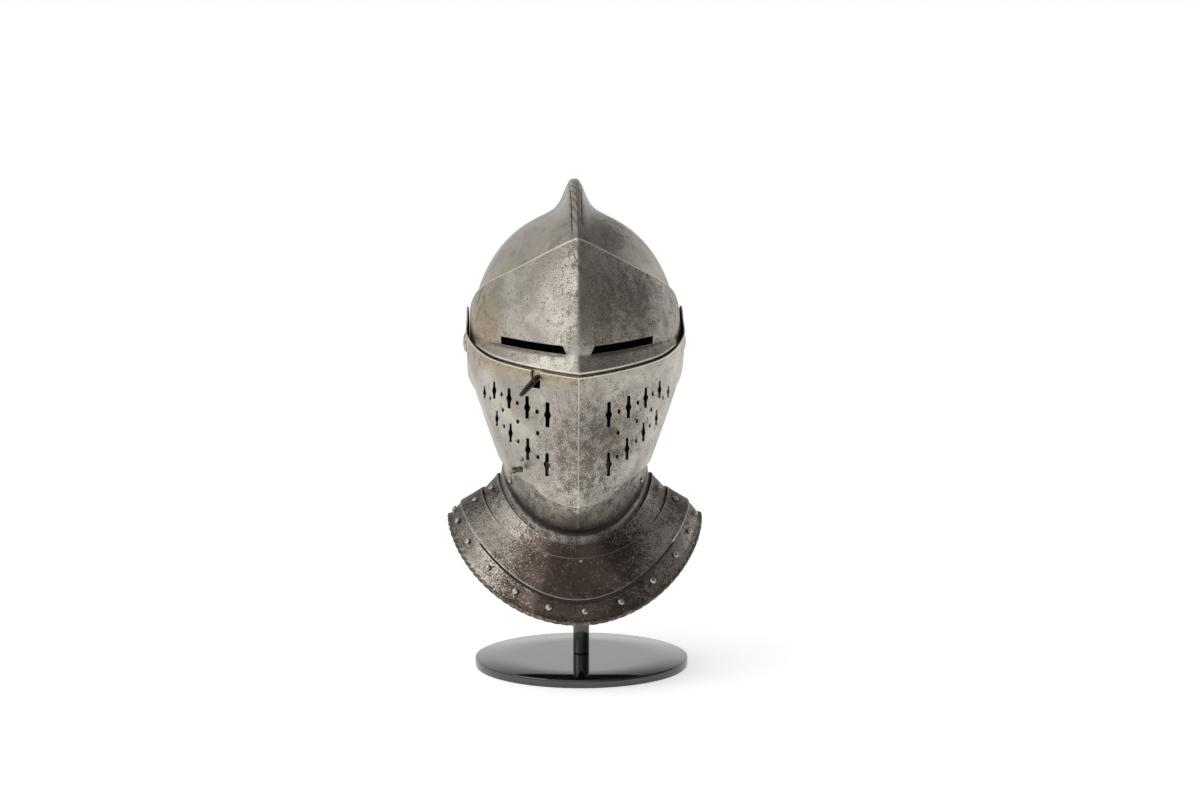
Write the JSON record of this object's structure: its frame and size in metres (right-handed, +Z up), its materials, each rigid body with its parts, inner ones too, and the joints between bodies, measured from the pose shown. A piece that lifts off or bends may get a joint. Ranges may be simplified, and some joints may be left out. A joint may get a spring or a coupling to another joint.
{
  "type": "close helmet on display stand",
  "caption": "Steel close helmet with a tall comb, keeled visor, pierced upper bevor and flaring riveted collar, held on a black post and round base.",
  "frame": {"origin": "centre of the round base's underside", "axes": "+Z up along the post, the face looks along -Y, +X is the wearer's left"},
  "size_m": [0.2302, 0.2813, 0.4437],
  "materials": {
    "steel": "worn polished steel, warm grey with tarnish and dark pitting",
    "russet_steel": "dark brown patinated steel with bright rubbed edges",
    "rivet_steel": "bright domed steel",
    "dark_iron": "dark iron",
    "black_stand": "satin black"
  },
  "bodies": {
    "skull_and_stand": {"stand_base": "black_stand", "stand_post": "black_stand", "skull": "steel", "gorget_rear_lame": "russet_steel", "gorget_rear_plate": "russet_steel", "pivot_bolt_right": "rivet_steel", "pivot_bolt_left": "rivet_steel", "rivet_rear_border_1": "rivet_steel", "rivet_rear_border_2": "rivet_steel", "rivet_rear_border_3": "rivet_steel", "rivet_rear_border_4": "rivet_steel", "rivet_rear_border_5": "rivet_steel", "rivet_rear_border_6": "rivet_steel", "rivet_rear_border_7": "rivet_steel"},
    "bevor": {"bevor": "steel", "gorget_front_lame": "russet_steel", "gorget_front_plate": "russet_steel", "pin_front": "rivet_steel", "rivet_front_border_1": "rivet_steel", "rivet_front_border_2": "rivet_steel", "rivet_front_border_3": "rivet_steel", "rivet_front_border_4": "rivet_steel", "rivet_front_border_5": "rivet_steel", "rivet_front_border_6": "rivet_steel", "rivet_front_border_7": "rivet_steel", "rivet_front_border_8": "rivet_steel", "rivet_front_border_9": "rivet_steel", "rivet_front_border_10": "rivet_steel", "rivet_front_border_11": "rivet_steel", "rivet_front_border_12": "rivet_steel", "rivet_front_lame_right": "rivet_steel", "rivet_front_lame_left": "rivet_steel", "rivet_front_plate_right": "rivet_steel", "rivet_front_plate_left": "rivet_steel", "rivet_neck_right": "rivet_steel", "rivet_neck_left": "rivet_steel"},
    "upper_bevor": {"upper_bevor": "steel", "upper_bevor_peg": "dark_iron", "upper_bevor_stud": "dark_iron"},
    "visor": {"visor": "steel", "visor_peg": "dark_iron"}
  },
  "joints": [
    {"name": "bevor_hinge", "type": "hinge", "parent": "skull_and_stand", "child": "bevor", "pos_m": [-0.006, 0, 0.297], "axis": [-1, 0, 0], "range_deg": [0, 50]},
    {"name": "upper_bevor_hinge", "type": "hinge", "parent": "bevor", "child": "upper_bevor", "pos_m": [-0.006, 0, 0.297], "axis": [-1, 0, 0], "range_deg": [0, 35]},
    {"name": "visor_hinge", "type": "hinge", "parent": "upper_bevor", "child": "visor", "pos_m": [-0.006, 0, 0.297], "axis": [-1, 0, 0], "range_deg": [0, 55]}
  ]
}
